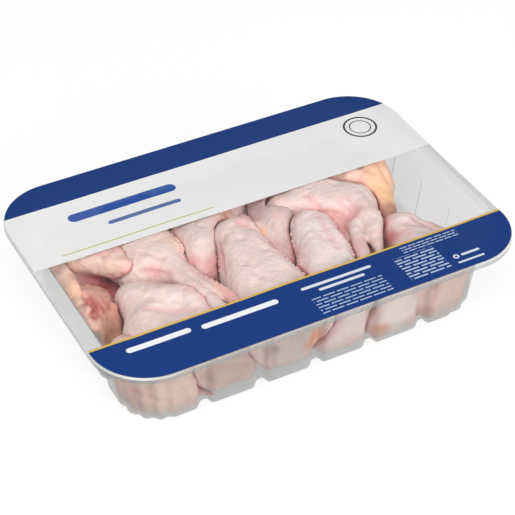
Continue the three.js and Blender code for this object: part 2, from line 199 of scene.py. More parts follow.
# For each wing: its limbs, the limbs that stand out of it, the skin's own shade as shares of
# pink, yellow and pale, and its relief and stains. Some stains are painted shade, dark in hollows,
# gaps and creases. Places of relief are near the skin, and the relief is laid on the skin itself.
# ridge: from, to, radius, height    fold: from, to, radius, depth
# row: from, to, number of feather pits, radius    stain: middle, reach, colour, strength
# The raw flesh red is also the colour of the painted shade in crevices, gaps and creases.
PINK, RAW_AND_SHADE = (0.76, 0.36, 0.35), (0.52, 0.13, 0.11)
AMBER, FAT, BROWN = (0.80, 0.44, 0.22), (0.86, 0.58, 0.38), (0.36, 0.16, 0.08)
SKIN, PALE_SKIN = (0.74, 0.58, 0.54), (0.81, 0.70, 0.67)
YELLOW_SKIN, PINK_SKIN, WALL_SKIN_AND_LIGHT = (0.83, 0.53, 0.36), (0.76, 0.46, 0.45), (0.88, 0.60, 0.48)
WINGS = {
    "wing_middle": dict(
        arms=folded_wing([-12, 3, 43], [-19, -64, 36], 28, 12, 19),
        pad=pad([-18, -63, 28], [9, 5, 11], 9),
        shade=(0.15, 0.1, 0.4),
        ridges=[([-16, 8, 54], [-26, -44, 54], 5, 1.2), ([-6, 8, 52], [-2, -4, 50], 2.2, 0.8)],
        folds=[
            ([-10, 8, 54], [-3, -4, 50], 2.0, 0.9),
            ([-24, 0, 48], [-33, -26, 46], 3, 0.8),
            ([-33, -78, 36], [-29, -78, 12], 2.2, 1.6),
            ([-22, -78, 34], [-12, -78, 30], 2.0, 1.4),
            ([-12, -78, 30], [-8, -78, 16], 1.8, 1.4),
        ],
        rows=[([-22, 12, 44], [-33, -14, 42], 8, 1.3), ([2, -6, 48], [6, -46, 48], 13, 1.4)],
        stains=[
            ([-6, 8, 50], 8, PINK, 0.5),
            ([4, -30, 48], 8, PINK, 0.35),
            ([-30, -10, 44], 8, PINK, 0.4),
            ([-18, -78, 26], 18, (0.56, 0.46, 0.44), 0.7),
            # Painted shade: dark along the fold on the front wall.
            ([-31, -78, 26], 6, (0.36, 0.22, 0.26), 0.7),
            ([-38, -78, 30], 5, (0.82, 0.50, 0.32), 0.8),
            ([-1, -76, 22], 8, (0.82, 0.32, 0.16), 0.95),
        ],
    ),
    "wing_right": dict(
        arms=folded_wing([33, -11, 44], [20, -62, 36], 14, 11, 16),
        pad=pad([18, -63, 25], [9, 5, 12], 9),
        shade=(0.1, 0.0, 0.85),
        ridges=[([31, -8, 54], [18, -44, 54], 5, 1.0)],
        folds=[([37, -8, 54], [32, -40, 54], 4, 0.6), ([10, -78, 26], [26, -78, 30], 2.2, 1.4)],
        rows=[([44, -14, 49], [42, -46, 49], 11, 1.4), ([22, -8, 44], [9, -38, 42], 8, 1.2)],
        stains=[
            ([27, -3, 50], 6, RAW_AND_SHADE, 0.5),
            ([14, -30, 46], 8, PINK, 0.45),
            ([44, -20, 48], 7, PINK, 0.4),
            ([8, -77, 32], 10, (0.66, 0.30, 0.40), 0.9),
            ([24, -78, 24], 14, (0.96, 0.80, 0.77), 0.7),
        ],
    ),
    "wing_elbow": dict(
        arms=[
            limb([26, 18, 45], [54, 12, 39], 10, 17),
            limb([54, 12, 39], [68, 4, 37], 17, 15),
            limb([68, 4, 37], [66, -18, 43], 14, 11),
            limb([54, 0, 38], [53, -16, 35], 12, 8),
        ],
        tips=[
            limb([56, -18, 46], [44, -54, 48], 5, 4.2),
            limb([67, -20, 46], [54, -54, 48], 6.5, 4.2),
            limb([51, -16, 38], [44, -46, 43], 4, 3),
        ],
        shade=(0.15, 0.1, 0.5),
        ridges=[([34, 20, 54], [62, 14, 55], 6, 0.9), ([70, 0, 51], [68, -22, 52], 4, 0.9)],
        folds=[
            ([42, -1, 47], [52, -9, 50], 2.2, 1.3),
            ([47, -2, 48], [55, -14, 50], 1.8, 1.4),
            ([56, -2, 52], [58, -16, 51], 1.6, 1.0),
            ([62, -2, 53], [62, -16, 51], 1.6, 0.9),
            ([44, 4, 50], [40, 12, 53], 1.8, 0.6),
        ],
        rows=[([26, 6, 46], [40, -1, 46], 6, 1.2)],
        stains=[
            ([24, 18, 50], 9, (0.78, 0.52, 0.46), 0.5),
            ([51, -14, 44], 9, (0.68, 0.30, 0.28), 0.7),
            ([46, -34, 41], 9, BROWN, 0.8),
            # Painted shade: dark red low in the gap between the fingers.
            ([58, -30, 38], 9, (0.45, 0.10, 0.10), 0.8),
            ([62, -14, 50], 8, PINK, 0.5),
            ([78, -16, 44], 10, PINK, 0.6),
            ([50, -42, 50], 9, PINK, 0.5),
            ([67, -38, 48], 7, (0.72, 0.30, 0.32), 0.6),
        ],
    ),
    "wing_crossed": dict(
        arms=[
            limb([-59, 44, 38], [-61, 14, 40], 20, 17.5),
            limb([-80, 34, 39], [-75, 8, 40], 14, 12),
            limb([-62, 14, 39], [-60, -6, 43], 14, 9),
        ],
        tips=[
            limb([-55, -2, 46], [-40, -52, 49], 6, 4.6),
            limb([-60, -4, 47], [-51, -54, 48.5], 6, 4.8),
        ],
        shade=(0.2, 0.15, 0.35),
        ridges=[([-64, 26, 54], [-62, 4, 54], 5, 0.9)],
        folds=[
            ([-78, 0, 48], [-64, -12, 50], 2.0, 1.1),
            ([-74, 12, 53], [-62, -2, 54], 1.8, 0.6),
            ([-50, -16, 52], [-43, -46, 53], 1.5, 1.0),
        ],
        rows=[([-42, 24, 49], [-49, 0, 49], 11, 2.0), ([-45, -24, 52], [-41, -46, 52], 6, 0.9)],
        stains=[
            ([-72, 4, 52], 13, (0.76, 0.62, 0.56), 0.7),
            ([-70, -4, 50], 7, PINK, 0.6),
            ([-42, -38, 52], 8, (0.80, 0.46, 0.34), 0.6),
            ([-42, -50, 52], 7, PINK, 0.6),
            ([-50, 12, 50], 9, FAT, 0.4),
        ],
    ),
    "wing_front_left": dict(
        arms=[
            limb([-86, -13, 40], [-61, -40, 43], 11, 12.5),
            limb([-87, -16, 40], [-89, -42, 35], 9, 15),
            limb([-89, -42, 35], [-64, -62, 34], 15, 18),
            limb([-62, -38, 38], [-64, -62, 34], 14, 18),
        ],
        pad=pad([-55, -63, 28], [9, 5, 11], 9),
        shade=(0.1, 0.1, 0.4),
        ridges=[([-88, -16, 50], [-62, -40, 55], 5, 0.9)],
        folds=[
            ([-90, -34, 52], [-66, -50, 54], 5, 0.7),
            ([-68, -78, 30], [-48, -78, 22], 2.4, 1.6),
        ],
        rows=[([-80, -6, 48], [-60, -26, 50], 9, 0.9)],
        stains=[
            ([-96, -18, 44], 7, PINK, 0.3),
            ([-66, -22, 50], 8, PINK, 0.3),
            ([-54, -78, 26], 26, (0.58, 0.40, 0.32), 0.75),
            ([-74, -78, 19], 6, (0.42, 0.22, 0.15), 0.8),
            ([-84, -76, 32], 8, (0.70, 0.45, 0.40), 0.6),
        ],
    ),
    "wing_front_right": dict(
        arms=[
            limb([85, -29, 37], [84, -57, 31], 13, 20),
            limb([97, -44, 38], [99, -54, 30], 7, 13),
        ],
        pad=pad([88, -58, 22], [8, 6, 13], 12),
        shade=(0.1, 0.15, 0.8),
        folds=[
            ([82, -34, 52], [92, -42, 52], 3, 0.8),
            ([91, -32, 50], [96, -48, 48], 2.5, 1.2),
            ([79, -78, 38], [79, -78, 20], 1.6, 1.4),
        ],
        stains=[
            ([101, -42, 44], 7, PINK, 0.6),
            # Painted shade: dark red in the slit between the fingers and this wing.
            ([72, -38, 42], 9, RAW_AND_SHADE, 0.8),
            ([75, -44, 50], 8, PINK, 0.3),
            ([98, -66, 22], 24, (0.80, 0.56, 0.45), 0.8),
            # Painted shade: dark red along the fold on the front wall.
            ([79, -78, 30], 4, RAW_AND_SHADE, 0.7),
            ([72, -76, 10], 9, (0.66, 0.22, 0.18), 1.0),
        ],
    ),
    "wing_back_middle": dict(
        arms=[
            limb([0, 44, 38], [-28, 14, 38], 17, 15),
            limb([-28, 14, 38], [-37, -3, 37], 15, 11),
            limb([-12, 54, 30], [-28, 14, 30], 17, 16),
            limb([-38, 34, 38], [-34, 8, 38], 15, 13),
        ],
        pad=pad([-18, 64, 22], [9, 5, 12], 9),
        shade=(0.3, 0.1, 0.0),
        folds=[([-44, 0, 44], [-34, -8, 46], 2.5, 0.8), ([-10, 26, 53], [-6, 18, 52], 2.0, 0.7)],
        rows=[([-14, 24, 50], [-26, 2, 46], 7, 1.2)],
        stains=[
            # Painted shade: a darker, greyer tone over the top, where the lamp falls strongly.
            ([-34, 10, 50], 24, (0.68, 0.56, 0.52), 0.6),
            ([-34, -12, 42], 9, PINK, 0.8),
            ([-8, 20, 52], 8, AMBER, 0.5),
            ([-44, -4, 42], 8, PINK, 0.5),
        ],
    ),
    "wing_behind": dict(
        arms=[limb([24, 34, 39], [18, 8, 39], 15.5, 13), limb([18, 8, 37], [8, -20, 33], 13, 9)],
        tips=[limb([1, 20, 45], [4, 8, 45.5], 4, 4), limb([4, 8, 45.5], [0, -6, 44], 4, 3)],
        shade=(0.1, 0.0, 0.0),
        folds=[([3, 14, 49], [4, 0, 48], 1.4, 0.8)],
        stains=[
            ([20, 10, 48], 30, (0.60, 0.46, 0.43), 0.85),
            ([1, 14, 48], 7, PINK, 0.8),
            ([3, 0, 47], 5, AMBER, 0.7),
            ([6, -12, 42], 8, PINK, 0.4),
        ],
    ),
    "wing_fat": dict(
        arms=[
            limb([74, 40, 41], [92, 26, 40], 13, 14),
            limb([92, 26, 40], [88, -2, 36], 14, 8),
            limb([72, 46, 24], [92, 24, 24], 18, 17),
            limb([72, 32, 39], [90, 22, 39], 14, 13),
        ],
        pad=pad([80, 60, 20], [10, 6, 10], 12),
        tips=[limb([91, 2, 38], [86, -15, 38], 6, 4.5)],
        shade=(0.1, 1.0, 0.0),
        rough=1.6,
        folds=[([80, 30, 52], [90, 14, 50], 2.5, 1.3), ([94, 30, 53], [98, 10, 48], 2.5, 1.2)],
        stains=[
            ([92, 12, 48], 16, (0.88, 0.50, 0.30), 0.7),
            ([93, 0, 42], 12, (0.90, 0.53, 0.27), 0.85),
            ([78, 24, 53], 12, (0.76, 0.54, 0.46), 0.8),
            ([84, -20, 46], 5, (0.62, 0.34, 0.18), 0.8),
            ([88, -12, 40], 9, BROWN, 0.8),
            ([80, 14, 46], 5, RAW_AND_SHADE, 0.5),
        ],
    ),
    "wing_left": dict(
        arms=[
            limb([-98, 42, 42], [-84, 16, 46], 13, 9),
            limb([-102, 30, 47], [-82, 7, 49.5], 8, 6),
            limb([-102, 46, 20], [-94, 18, 17], 17, 14),
        ],
        pad=pad([-92, 58, 20], [10, 6, 10], 13),
        shade=(0.3, 0.6, 0.0),
        folds=[([-100, 30, 54], [-92, 16, 54], 2.5, 0.6)],
        stains=[
            ([-88, 20, 54], 7, PINK, 0.6),
            # Painted shade: dark red in the hole under the wing.
            ([-92, 14, 26], 21, (0.44, 0.07, 0.075), 1.0),
            ([-98, 30, 54], 10, (0.72, 0.50, 0.42), 0.6),
        ],
    ),
    "wing_far_left": dict(
        arms=[
            limb([-117, 30, 40], [-119, -24, 39], 8, 8),
            limb([-105, 5, 34], [-106, -18, 36], 8, 9),
            limb([-108, -24, 28], [-101, -34, 24], 10, 11),
            limb([-98, 0, 22], [-97, -22, 22], 9, 9),
        ],
        shade=(0.1, 1.0, 0.0),
        rough=2.4,
        ridges=[
            ([-112, -7, 46], [-110, -13, 46], 2.4, 1.7),
            ([-106, -7, 46], [-103, -11, 46], 2.4, 1.6),
            ([-104, -14, 46], [-101, -19, 46], 2.4, 1.6),
            ([-109, -16, 46], [-108, -22, 46], 2.6, 1.7),
            ([-115, -11, 47], [-116, -17, 47], 2.2, 1.4),
            ([-117, 20, 49], [-116, 8, 49], 3.0, 0.9),
        ],
        folds=[
            ([-108, 14, 46], [-112, -2, 46], 2.0, 2.2),
            ([-112, -2, 46], [-113, -13, 46], 2.0, 2.4),
            ([-113, -13, 46], [-116, -24, 46], 1.8, 2.0),
            ([-107, -6, 46], [-106, -22, 46], 1.5, 1.3),
        ],
        stains=[
            ([-118, 24, 48], 13, (0.80, 0.60, 0.53), 0.8),
            ([-103, 3, 42], 9, (0.52, 0.25, 0.21), 0.85),
            ([-105, -15, 44], 12, (0.54, 0.22, 0.15), 0.9),
            # Painted shade: dark red along the crease between the flaps.
            ([-112, -5, 44], 5, RAW_AND_SHADE, 0.8),
            ([-113, -13, 44], 6, RAW_AND_SHADE, 0.9),
            ([-116, -20, 44], 5, RAW_AND_SHADE, 0.8),
            ([-108, -33, 34], 13, BROWN, 1.0),
        ],
    ),
    "wing_corner": dict(
        arms=[limb([-107, -52, 31], [-78, -62, 20], 15, 18)],
        pad=pad([-92, -58, 22], [10, 6, 12], 13),
        shade=(0.2, 0.55, 0.2),
        rough=1.5,
        folds=[
            ([-110, -60, 24], [-96, -74, 14], 2.5, 1.4),
            ([-92, -76, 30], [-84, -78, 10], 2.5, 1.2),
        ],
        stains=[
            ([-110, -72, 18], 12, (0.70, 0.40, 0.33), 0.7),
            ([-93, -78, 20], 20, (0.92, 0.68, 0.54), 0.8),
            ([-119, -68, 36], 5, RAW_AND_SHADE, 0.8),
            ([-114, -74, 22], 4, RAW_AND_SHADE, 0.6),
        ],
    ),
    "wing_back": dict(
        arms=folded_wing([6, 60, 22], [44, 60, 22], 16, 14, 17),
        pad=pad([26, 64, 22], [16, 5, 12], 9),
        shade=(0.3, 0.25, 0.5),
        rows=[([0, 80, 34], [26, 80, 16], 4, 1.0), ([24, 80, 38], [46, 80, 20], 4, 1.0)],
        folds=[([8, 78, 38], [16, 78, 10], 2.2, 1.8), ([34, 78, 36], [28, 78, 12], 2.0, 1.6)],
        stains=[([40, 74, 30], 14, (0.82, 0.52, 0.34), 0.5), ([8, 74, 24], 10, PINK, 0.6)],
    ),
    "wing_back_left": dict(
        arms=folded_wing([-40, 60, 22], [-68, 60, 22], 16, 15, 17),
        pad=pad([-54, 64, 22], [9, 5, 12], 9),
        shade=(0.25, 0.4, 0.5),
        rows=[([-70, 80, 34], [-46, 80, 22], 4, 1.0)],
        folds=[([-50, 78, 36], [-58, 78, 10], 2.2, 1.8), ([-40, 76, 34], [-46, 76, 14], 2.0, 1.5)],
        stains=[([-66, 74, 30], 12, (0.82, 0.52, 0.34), 0.5), ([-46, 74, 20], 9, PINK, 0.6)],
    ),
    "wing_low_left": dict(
        arms=folded_wing([-24, -40, 20], [-52, -50, 20], 16, 14, 15),
        shade=(0.5, 0.2, 0.1),
        stains=[([-64, -74, 24], 10, BROWN, 0.5), ([-32, -76, 26], 8, RAW_AND_SHADE, 0.4)],
    ),
    "wing_low_right": dict(
        arms=[
            limb([56, -56, 26], [34, -44, 18], 17, 14),
            limb([58, -50, 24], [69, -30, 24], 14, 13),
        ],
        pad=pad([54, -62, 24], [9, 6, 15], 9),
        shade=(0.1, 0.15, 0.5),
        folds=[([64, -79, 30], [58, -79, 22], 3, 0.8)],
        stains=[
            ([66, -78, 34], 6, (0.50, 0.42, 0.48), 0.5),
            ([54, -78, 24], 20, (0.98, 0.83, 0.76), 0.8),
            ([41, -76, 8], 9, (0.82, 0.34, 0.18), 0.9),
            # Painted shade: dark red in the slit between the fingers and the front right wing.
            ([64, -38, 36], 14, RAW_AND_SHADE, 0.7),
        ],
    ),
    "wing_low_middle": dict(
        arms=folded_wing([-44, 2, 15], [0, 2, 15], 18, 12, 14),
        shade=(0.5, 0.1, 0.1),
    ),
}
LIMB_BLEND, TIP_BLEND = 9.0, 2.5  # how softly limbs and tips run into each other
STROKE_BLEND = 1.6  # and ridges and folds into the skin
PRESS_BLEND, TOUCH_BLEND = 2.0, 1.6  # and how softly it bends at a wall or another wing


def limb_distance(p, one):
    """Distance to a rod whose two round ends have radii of their own."""
    a, b, ra, rb = one
    axis = b - a
    t = np.clip(((p - a) @ axis) / (axis @ axis), 0, 1)
    return np.linalg.norm(p - a - t[..., None] * axis, axis=-1) - (ra + (rb - ra) * t)


def pad_distance(p, one):
    """Distance to a block with round edges."""
    middle, half, round_off = one
    return np.linalg.norm(np.maximum(np.abs(p - middle) - half, 0), axis=-1) - round_off


def unevenness(p):
    """Long low waves, the same ones that the solids have."""
    def wave(q, length):
        return np.sin(2 * math.pi * q / length)

    x, y, z = p[..., 0], p[..., 1], p[..., 2]
    return 0.5 * wave(x + 0.4 * y, 31) + 0.4 * wave(y - 0.3 * z, 37) + 0.3 * wave(z + 0.5 * x, 23)


def flesh(p, wing):
    """Distance to a wing's skin before it is pressed against anything."""
    parts = [limb_distance(p, one) for one in wing["arms"]]
    if "pad" in wing:
        parts.append(pad_distance(p, wing["pad"]))
    d = parts[0]
    for e in parts[1:]:
        d = smin(d, e, LIMB_BLEND)
    for one in wing.get("tips", ()):
        d = smin(d, limb_distance(p, one), TIP_BLEND)
    return d + unevenness(p)


SLOPE_REACH = 0.8  # how far to each side of a point its slope is measured
SETTLE_STEPS, SETTLE_SHARE = 10, 0.8  # moves to a surface, each by this share of the way


def slope(field, low, step, points):
    """The direction in which a field on a grid rises at some points."""
    rise = [
        sample(field, low, step, points + e) - sample(field, low, step, points - e)
        for e in SLOPE_REACH * np.eye(3)
    ]
    rise = np.stack(rise, -1)
    return rise / (np.linalg.norm(rise, axis=-1, keepdims=True) + 1e-9)


def settle(points, field, low, step):
    """Moves points on to the zero surface of a field. Returns them and the directions out of it."""
    p = np.array(points, float)
    for _ in range(SETTLE_STEPS):
        p = p - SETTLE_SHARE * sample(field, low, step, p)[:, None] * slope(field, low, step, p)
    return p, slope(field, low, step, p)


def near(grid, low, step, middle, reach):
    """The part of a grid round a point, as slices."""
    a = np.maximum(np.floor((middle - reach - low) / step).astype(int), 0)
    b = np.minimum(np.ceil((middle + reach - low) / step).astype(int) + 1, grid.shape[:3])
    return tuple(slice(lo, max(hi, lo)) for lo, hi in zip(a, b))


def along(a, b, count):
    t = np.linspace(0, 1, count)[:, None]
    return np.array(a, float) * (1 - t) + np.array(b, float) * t


def carve(body, grid, low, step, strokes, sign):
    """Lays ridges on a wing's skin, or cuts folds into it."""
    field = body.copy()
    for start, end, radius, height in strokes:
        count = max(int(np.linalg.norm(np.subtract(end, start)) / 2), 4)
        spine, out = settle(along(start, end, count), body, low, step)
        for k, (point, way) in enumerate(zip(spine, out)):
            taper = math.sin(math.pi * (k + 0.5) / count) ** 0.5
            r = radius * (0.6 + 0.4 * taper)
            middle = point - sign * way * (r - height * taper)
            part = near(grid, low, step, middle, r + 5)
            ball = np.linalg.norm(grid[part] - middle, axis=-1) - r
            if sign > 0:
                field[part] = smin(field[part], ball, STROKE_BLEND)
            else:
                field[part] = smax(field[part], -ball, STROKE_BLEND)
    return field


def bead(radius, middle, way, cuts=4):
    """A small round pimple of skin, flattened along its way out, as points and quads."""
    t = np.linspace(-1, 1, cuts + 1)
    u, v = np.meshgrid(t, t, indexing="ij")
    points, quads = [], []
    for axis in range(3):
        for sign in (-1, 1):
            face = np.zeros((cuts + 1, cuts + 1, 3))
            face[..., axis] = sign
            face[..., (axis + 1) % 3], face[..., (axis + 2) % 3] = u * sign, v
            first = len(points) * (cuts + 1) ** 2
            index = first + np.arange((cuts + 1) ** 2).reshape(cuts + 1, cuts + 1)
            ring = [index[:-1, :-1], index[1:, :-1], index[1:, 1:], index[:-1, 1:]]
            quads.append(np.stack(ring, -1).reshape(-1, 4))
            points.append(face.reshape(-1, 3))
    points = np.concatenate(points)
    points = points / np.linalg.norm(points, axis=1, keepdims=True)
    points = points - 0.35 * (points @ way)[:, None] * way
    return middle + radius * points, np.concatenate(quads)


def add_pimples(points, quads, field, low, wing, seed):
    """Adds the rows of feather pimples to a wing's skin."""
    chance = np.random.RandomState(seed)
    for start, end, count, radius in wing.get("rows", ()):
        line = along(start, end, count) + chance.uniform(-0.5, 0.5, (count, 3))
        spots, out = settle(line, field, low, STEP)
        for spot, way in zip(spots, out):
            r = radius * chance.uniform(0.75, 1.1)
            more, faces = bead(r, spot + 0.05 * r * way, way)
            quads = np.concatenate([quads, faces + len(points)])
            points = np.concatenate([points, more])
    return points, quads


def surface_net(field, origin, step):
    """The zero surface of a field on a grid, as points and quads."""
    inside = field < 0
    n = np.array(field.shape) - 1
    total = np.zeros((*n, 3))
    count = np.zeros(n)

    def at(array, c):
        return array[c[0] : n[0] + c[0], c[1] : n[1] + c[1], c[2] : n[2] + c[2]]

    for ca in CORNERS:
        for axis in range(3):
            if ca[axis]:
                continue
            cb = ca.copy()
            cb[axis] = 1
            fa, fb = at(field, ca), at(field, cb)
            cut = at(inside, ca) != at(inside, cb)
            t = np.where(cut, fa / np.where(cut, fa - fb, 1), 0)
            count += cut
            for k in range(3):
                total[..., k] += cut * (ca[k] + (t if k == axis else 0))
    used = count > 0
    number = np.full(n, -1)
    number[used] = np.arange(used.sum())
    cell = np.argwhere(used)
    points = (cell + total[used] / count[used][:, None]) * step + origin
    quads = []
    for axis in range(3):
        u, v = (axis + 1) % 3, (axis + 2) % 3
        low = [slice(1, -1)] * 3
        low[axis] = slice(0, -1)
        high = list(low)
        high[axis] = slice(1, None)
        here, there = inside[tuple(low)], inside[tuple(high)]
        for flip, mask in ((False, here & ~there), (True, ~here & there)):
            at_cell = np.argwhere(mask)
            if not len(at_cell):
                continue
            at_cell = at_cell + [1 if k != axis else 0 for k in range(3)]
            back_u, back_v = np.zeros(3, int), np.zeros(3, int)
            back_u[u], back_v[v] = 1, 1
            ring = [at_cell - back_u - back_v, at_cell - back_v, at_cell, at_cell - back_u]
            quad = np.stack([number[r[:, 0], r[:, 1], r[:, 2]] for r in ring], -1)
            quads.append(quad[:, ::-1] if flip else quad)
    return points, np.concatenate(quads)


def largest_part(points, quads):
    """Keeps the largest connected part of a mesh."""
    label = np.arange(len(points))
    while True:
        low = label[quads].min(axis=1)
        new = label.copy()
        for k in range(4):
            np.minimum.at(new, quads[:, k], low)
        new = new[new]
        if (new == label).all():
            break
        label = new
    best = np.bincount(label).argmax()
    keep = label == best
    number = np.cumsum(keep) - 1
    return points[keep], number[quads[keep[quads[:, 0]]]]


def wing_grid(wing, step):
    """A grid of points round a wing, and its lowest corner."""
    every = wing["arms"] + list(wing.get("tips", ()))
    low = np.min([np.minimum(a - ra, b - rb) for a, b, ra, rb in every], axis=0)
    high = np.max([np.maximum(a + ra, b + rb) for a, b, ra, rb in every], axis=0)
    if "pad" in wing:
        middle, half, round_off = wing["pad"]
        low = np.minimum(low, middle - half - round_off)
        high = np.maximum(high, middle + half + round_off)
    low = np.maximum(low - GRID_MARGIN, GRID_LOW)
    high = np.minimum(high + GRID_MARGIN, GRID_HIGH)
    axes = [np.arange(lo, hi, step) for lo, hi in zip(low, high)]
    return np.stack(np.meshgrid(*axes, indexing="ij"), -1), low


def sample(field, low, step, points):
    """Reads a field on a grid at some points."""
    q = (points - low) / step
    base = np.clip(np.floor(q).astype(int), 0, np.array(field.shape) - 2)
    return blend(field, base, q - base)


def wrinkles(p, wing):
    """Fine creases that run along the wing's first limb."""
    a, b, _, _ = wing["arms"][0]
    way = (b - a) / np.linalg.norm(b - a)
    drawn = p - 0.7 * (p @ way)[..., None] * way
    height = 0.34 * noise(drawn, 3.6, 4.4) + 0.42 * noise(p, 6.0, 9.7) + 0.08 * noise(p, 2.6, 2.9)
    return wing.get("rough", 1.0) * height


def wing_surface(name, before):
    """One wing, pressed against the tray and the wings before it: its points and quads, and
    the fields of its skin and of the nearest other wing on their grid."""
    wing = WINGS[name]
    grid, low = wing_grid(wing, STEP)
    warp = np.stack([noise(grid, 11.0, 3.1 + k) for k in range(3)], -1) * 0.9
    body = flesh(grid + warp, wing)
    body = carve(body, grid, low, STEP, wing.get("ridges", ()), 1) + wrinkles(grid, wing)
    field = smax(body, inside_tray(grid), PRESS_BLEND)
    nearest = np.full(field.shape, 99.0)
    for other in before:
        e = flesh(grid, WINGS[other])
        nearest = np.minimum(nearest, e)
        field = smax(field, GAP - e, TOUCH_BLEND)
    pressed = 0.9 * noise(grid, 7.0, 6.1) + 0.6 * noise(grid, 3.4, 1.7)
    field = field + np.maximum(pressed, 0)
    field = carve(field, grid, low, STEP, wing.get("folds", ()), -1)
    points, quads = largest_part(*surface_net(field, low, STEP))
    points, quads = add_pimples(points, quads, field, low, wing, len(before))
    return points, quads, field, nearest, low


def skin_colours(name, points, field, nearest, low):
    """The skin's shade at each point: patches of pink, yellow and pale, stains, and painted shade:
    darker pink and red where the skin turns in under another wing, and red in the wrinkles' hollows
    on rough wings. Low on the walls the skin is warmer and brighter, partly its own tone and partly
    painted light."""
    wing = WINGS[name]
    pink, yellow, pale = wing["shade"]
    blotch = noise(points, 14.0, 1.3) * 0.6 + noise(points, 6.0, 5.9) * 0.4
    warm = noise(points, 20.0, 8.8)
    colour = np.repeat(np.array([SKIN]), len(points), 0)

    def mix(colour, other, amount):
        amount = np.clip(amount, 0, 1)[:, None]
        return colour * (1 - amount) + np.array(other) * amount

    colour = mix(colour, PALE_SKIN, 0.8 * pale + 0.35 * blotch)
    colour = mix(colour, YELLOW_SKIN, 0.9 * yellow * (0.75 + 0.5 * warm))
    colour = mix(colour, PINK_SKIN, 0.5 * pink * (0.45 + 1.0 * blotch))
    rough = wing.get("rough", 1.0)
    # Painted shade: dark red in the hollows of the wrinkles on rough wings.
    colour = mix(colour, RAW_AND_SHADE, 0.4 * (rough - 1.0) * noise(points, 6.0, 9.7))
    reach = 2.2
    ways = [s * e for e in np.eye(3) for s in (-1, 1)]
    bend = sum(sample(field, low, STEP, points + reach * way) for way in ways)
    colour = mix(colour, PINK, 0.5 * np.clip(bend / reach - 0.5, 0, 1))
    # Skin low on the walls is warmer and brighter: partly its own tone where it presses on the
    # plastic, partly painted light.
    wall = smoothstep(-2.5, -0.5, inside_tray(points)) * smoothstep(46.0, 40.0, points[:, 2])
    colour = mix(colour, WALL_SKIN_AND_LIGHT, 0.6 * wall * (0.8 + blotch))
    # Painted shade: pink, then dark red, on skin close to another wing, in the crevices between
    # wings.
    touch = sample(np.minimum(nearest, 50), low, STEP, points)
    colour = mix(colour, PINK, 0.5 * smoothstep(8.5, 1.0, touch))
    colour = mix(colour, RAW_AND_SHADE, 0.9 * smoothstep(3.4, 0.4, touch))
    for kind, strength, far, close in (("rows", 0.3, 5.0, 1.0), ("folds", 0.45, 3.5, 0.5)):
        for start, end, _, _ in wing.get(kind, ()):
            line = settle(along(start, end, 9), field, low, STEP)[0]
            d = np.min([np.linalg.norm(points - q, axis=1) for q in line], axis=0)
            colour = mix(colour, PINK, strength * smoothstep(far, close, d))
    for middle, size, shade, strength in wing.get("stains", ()):
        d = np.linalg.norm(points - np.array(middle), axis=1) + 0.35 * size * blotch
        colour = mix(colour, shade, strength * smoothstep(1.25 * size, 0.35 * size, d))
    return colour


def mesh_object(name, points, faces, material):
    """A smooth mesh on the part's one body, from points in millimetres."""
    mesh = bpy.data.meshes.new(name)
    mesh.from_pydata((points * MM).tolist(), [], faces)
    made = bpy.data.objects.new(name, mesh)
    bpy.context.scene.collection.objects.link(made)
    mesh.materials.append(material)
    mesh.shade_smooth()
    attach(made, "root")
    return made


# Materials


class Nodes:
    """A short way to write a material's nodes."""

    def __init__(self, name):
        self.material = bpy.data.materials.new(name)
        self.material.use_nodes = True
        self.tree = self.material.node_tree
        self.shader = self.tree.nodes["Principled BSDF"]

    def add(self, kind, inputs=(), **settings):
        node = self.tree.nodes.new(kind)
        for key, value in settings.items():
            setattr(node, key, value)
        for key, value in dict(inputs).items():
            self.set(node, key, value)
        return node

    def set(self, node, key, value):
        socket = node.inputs[key]
        if isinstance(value, bpy.types.NodeSocket):
            self.tree.links.new(value, socket)
        else:
            socket.default_value = value

    def math(self, operation, a, b=0.0, c=0.0):
        return self.add("ShaderNodeMath", {0: a, 1: b, 2: c}, operation=operation).outputs[0]

    def object_position(self):
        return self.add("ShaderNodeTexCoord").outputs["Object"]

    def noise(self, scale, detail=3.0, rough=0.5):
        inputs = {"Vector": self.object_position(), "Scale": scale}
        inputs.update({"Detail": detail, "Roughness": rough})
        return self.add("ShaderNodeTexNoise", inputs).outputs["Fac"]

    def bump(self, height, strength, distance, normal=None):
        inputs = {"Height": height, "Strength": strength, "Distance": distance}
        if normal is not None:
            inputs["Normal"] = normal
        return self.add("ShaderNodeBump", inputs).outputs["Normal"]

    def mix(self, amount, a, b):
        made = self.add("ShaderNodeMix", data_type="RGBA")
        self.set(made, 0, amount)
        self.set(made, 6, a)
        self.set(made, 7, b)
        return made.outputs[2]


